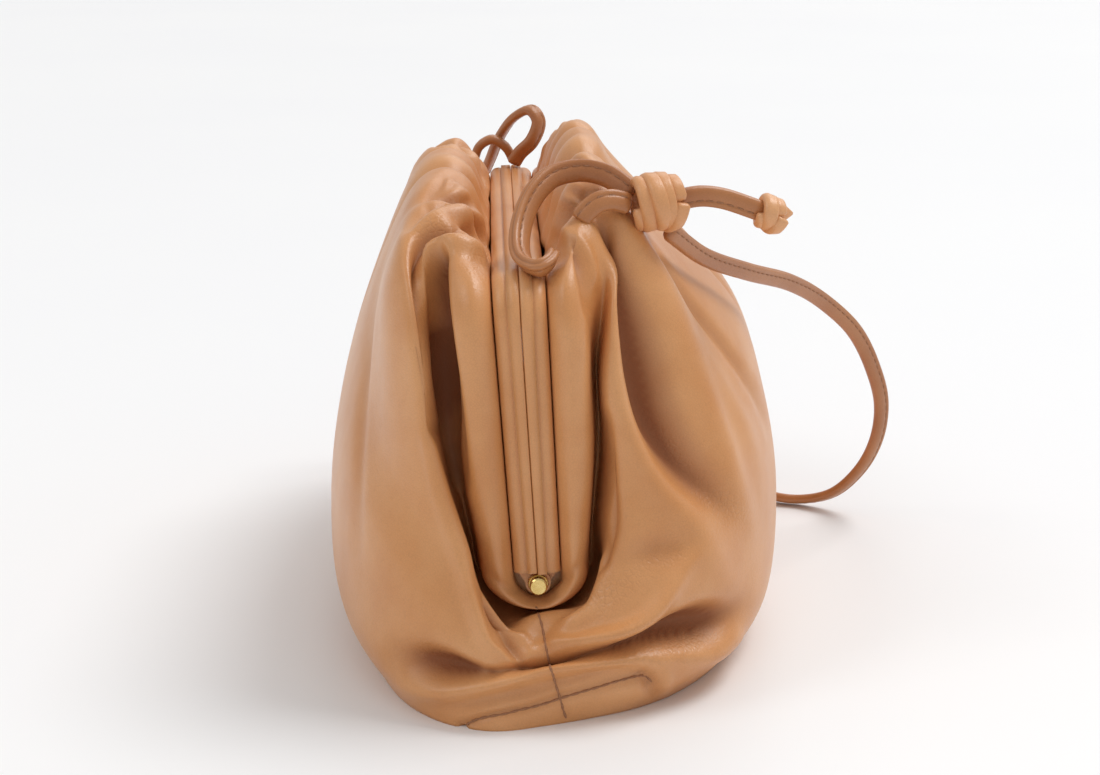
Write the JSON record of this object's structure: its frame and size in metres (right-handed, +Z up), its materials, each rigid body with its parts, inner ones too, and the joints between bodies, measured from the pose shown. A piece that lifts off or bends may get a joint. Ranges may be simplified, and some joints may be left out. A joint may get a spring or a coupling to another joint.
{
  "type": "cloud pouch bag",
  "caption": "Small gathered leather pouch bag with a hinged frame, a soft puffed body on a flat base, and a knotted leather strap that lies behind it.",
  "frame": {"origin": "under the middle of the bag without its strap, on the surface that it stands on", "axes": "+Z up, +Y along the frame from the near end to the far end, +X to the right seen from the near end"},
  "size_m": [0.1764, 0.355, 0.1316],
  "materials": {
    "leather": "satin",
    "strap": "satin",
    "brass": "polished"
  },
  "bodies": {
    "root": {"leather_body": "leather", "frame_left": "leather", "frame_right": "leather", "hinge_leaf_left_near": "brass", "hinge_leaf_left_far": "brass", "hinge_leaf_right_near": "brass", "hinge_leaf_right_far": "brass", "hinge_rivet_near": "brass", "hinge_rivet_far": "brass", "strap_run": "strap", "strap_loop_near": "strap", "strap_return_near": "strap", "strap_tail_near": "strap", "strap_loop_far": "strap", "strap_hook_far": "strap", "strap_tail_far": "strap", "strap_knot_near": "strap", "strap_end_knot_near": "strap", "strap_knot_far": "strap", "strap_end_knot_far": "strap"}
  },
  "joints": []
}
